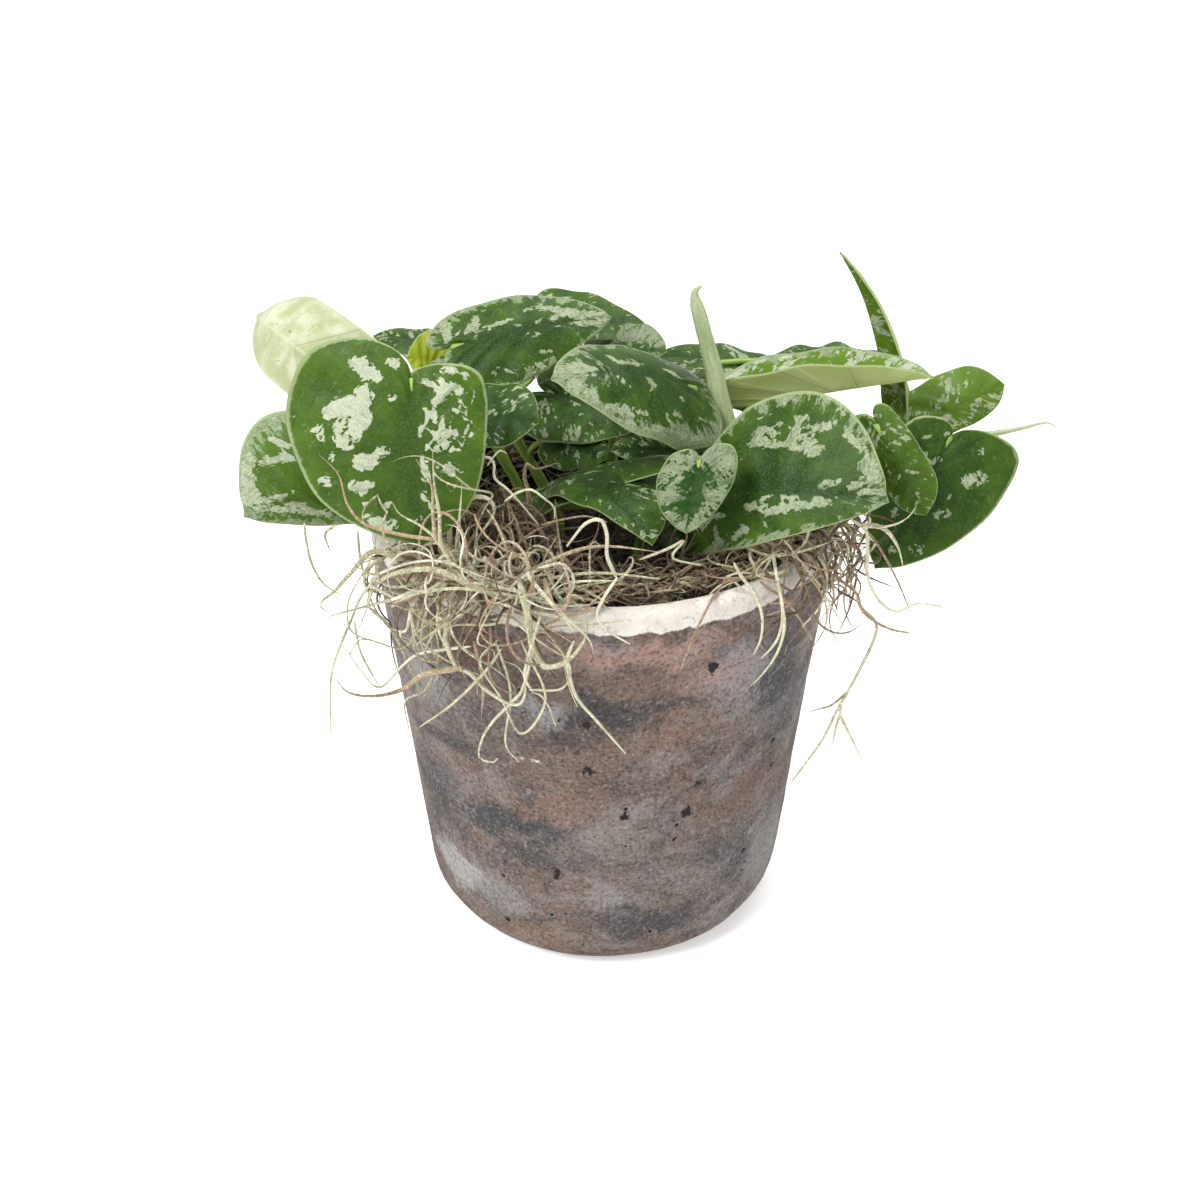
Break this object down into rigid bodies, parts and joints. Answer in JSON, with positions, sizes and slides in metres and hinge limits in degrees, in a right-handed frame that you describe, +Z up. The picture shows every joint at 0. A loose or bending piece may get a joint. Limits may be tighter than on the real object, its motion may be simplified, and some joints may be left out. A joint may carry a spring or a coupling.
{
  "type": "potted satin pothos",
  "caption": "Trailing houseplant with silver-blotched heart-shaped leaves in a rough terracotta cover pot, dressed with hanging Spanish moss.",
  "frame": {"origin": "centre of the pot's flat foot, on the surface that it stands on", "axes": "+Z up, -Y to the front of the plant where the largest leaf hangs, +X to the right seen from the front"},
  "size_m": [0.2686, 0.2187, 0.2352],
  "materials": {
    "fired_clay": "matte",
    "black_plastic": "satin",
    "potting_soil": "matte",
    "pothos_leaf": "satin",
    "spanish_moss": "matte"
  },
  "bodies": {
    "root": {"cover_pot": "fired_clay", "nursery_pot": "black_plastic", "soil": "potting_soil", "leafy_stem_left": "pothos_leaf", "leafy_stem_back_left": "pothos_leaf", "leafy_stem_centre_left": "pothos_leaf", "leafy_stem_centre": "pothos_leaf", "leafy_stem_front": "pothos_leaf", "leafy_stem_right": "pothos_leaf", "leafy_stem_far_right": "pothos_leaf", "leafy_stem_back": "pothos_leaf", "moss_bed": "spanish_moss", "moss_beard": "spanish_moss", "moss_tuft": "spanish_moss"}
  },
  "joints": []
}
